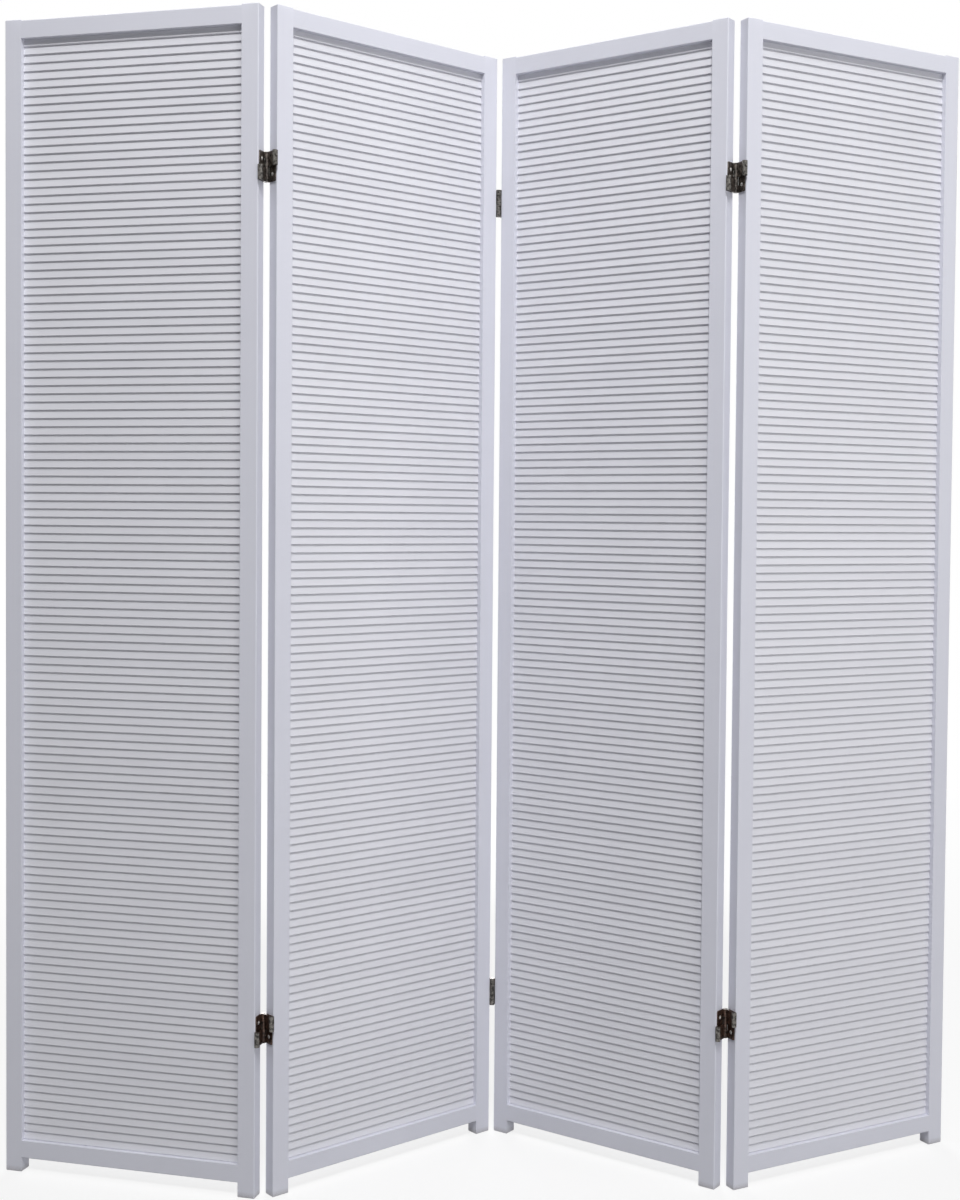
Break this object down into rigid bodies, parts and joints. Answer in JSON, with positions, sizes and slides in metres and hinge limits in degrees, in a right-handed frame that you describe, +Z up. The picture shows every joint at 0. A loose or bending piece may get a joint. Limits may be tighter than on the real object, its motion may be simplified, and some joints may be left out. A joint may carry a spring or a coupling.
{
  "type": "folding room divider",
  "caption": "Folding room divider of hinged painted-wood panels, each a stile-and-rail frame filled with lapped horizontal slats; two-way hinges let it stand in a zigzag and fold flat.",
  "frame": {"origin": "on the floor, under the middle of the box around the screen as it stands folded in a zigzag", "axes": "+Z up, front of the screen towards -Y, +X to the right as seen from the front"},
  "size_m": [1.4294, 0.3, 1.7],
  "materials": {
    "white_paint": "white satin paint on wood",
    "bronzed_steel": "dark bronzed steel",
    "screw_steel": "plain steel, worn bright on the head"
  },
  "bodies": {
    "panel_1": {"left_hinge_pins": "bronzed_steel", "panel_1_bottom_rail": "white_paint", "panel_1_left_stile": "white_paint", "panel_1_right_hinge_idle_pins": "bronzed_steel", "panel_1_right_hinge_leaves": "bronzed_steel", "panel_1_right_hinge_links": "bronzed_steel", "panel_1_right_hinge_screws": "screw_steel", "panel_1_right_stile": "white_paint", "panel_1_slats": "white_paint", "panel_1_top_rail": "white_paint"},
    "panel_2": {"middle_hinge_pins": "bronzed_steel", "panel_2_bottom_rail": "white_paint", "panel_2_left_hinge_idle_pins": "bronzed_steel", "panel_2_left_hinge_leaves": "bronzed_steel", "panel_2_left_hinge_links": "bronzed_steel", "panel_2_left_hinge_screws": "screw_steel", "panel_2_left_stile": "white_paint", "panel_2_right_hinge_idle_pins": "bronzed_steel", "panel_2_right_hinge_leaves": "bronzed_steel", "panel_2_right_hinge_links": "bronzed_steel", "panel_2_right_hinge_screws": "screw_steel", "panel_2_right_stile": "white_paint", "panel_2_slats": "white_paint", "panel_2_top_rail": "white_paint"},
    "panel_3": {"panel_3_bottom_rail": "white_paint", "panel_3_left_hinge_idle_pins": "bronzed_steel", "panel_3_left_hinge_leaves": "bronzed_steel", "panel_3_left_hinge_links": "bronzed_steel", "panel_3_left_hinge_screws": "screw_steel", "panel_3_left_stile": "white_paint", "panel_3_right_hinge_idle_pins": "bronzed_steel", "panel_3_right_hinge_leaves": "bronzed_steel", "panel_3_right_hinge_links": "bronzed_steel", "panel_3_right_hinge_screws": "screw_steel", "panel_3_right_stile": "white_paint", "panel_3_slats": "white_paint", "panel_3_top_rail": "white_paint", "right_hinge_pins": "bronzed_steel"},
    "panel_4": {"panel_4_bottom_rail": "white_paint", "panel_4_left_hinge_idle_pins": "bronzed_steel", "panel_4_left_hinge_leaves": "bronzed_steel", "panel_4_left_hinge_links": "bronzed_steel", "panel_4_left_hinge_screws": "screw_steel", "panel_4_left_stile": "white_paint", "panel_4_right_stile": "white_paint", "panel_4_slats": "white_paint", "panel_4_top_rail": "white_paint"}
  },
  "joints": [
    {"name": "left_hinge", "type": "hinge", "parent": "panel_2", "child": "panel_1", "pos_m": [-0.31794, -0.12498, 0.858], "axis": [0, 0, 1], "range_deg": [-124.7, 55.3]},
    {"name": "middle_hinge", "type": "hinge", "parent": "panel_2", "child": "panel_3", "pos_m": [0.00236, 0.12807, 0.849], "axis": [0, 0, 1], "range_deg": [-103.3, 75.5]},
    {"name": "right_hinge", "type": "hinge", "parent": "panel_3", "child": "panel_4", "pos_m": [0.35221, -0.08223, 0.858], "axis": [0, 0, 1], "range_deg": [-63.2, 116.8]}
  ]
}
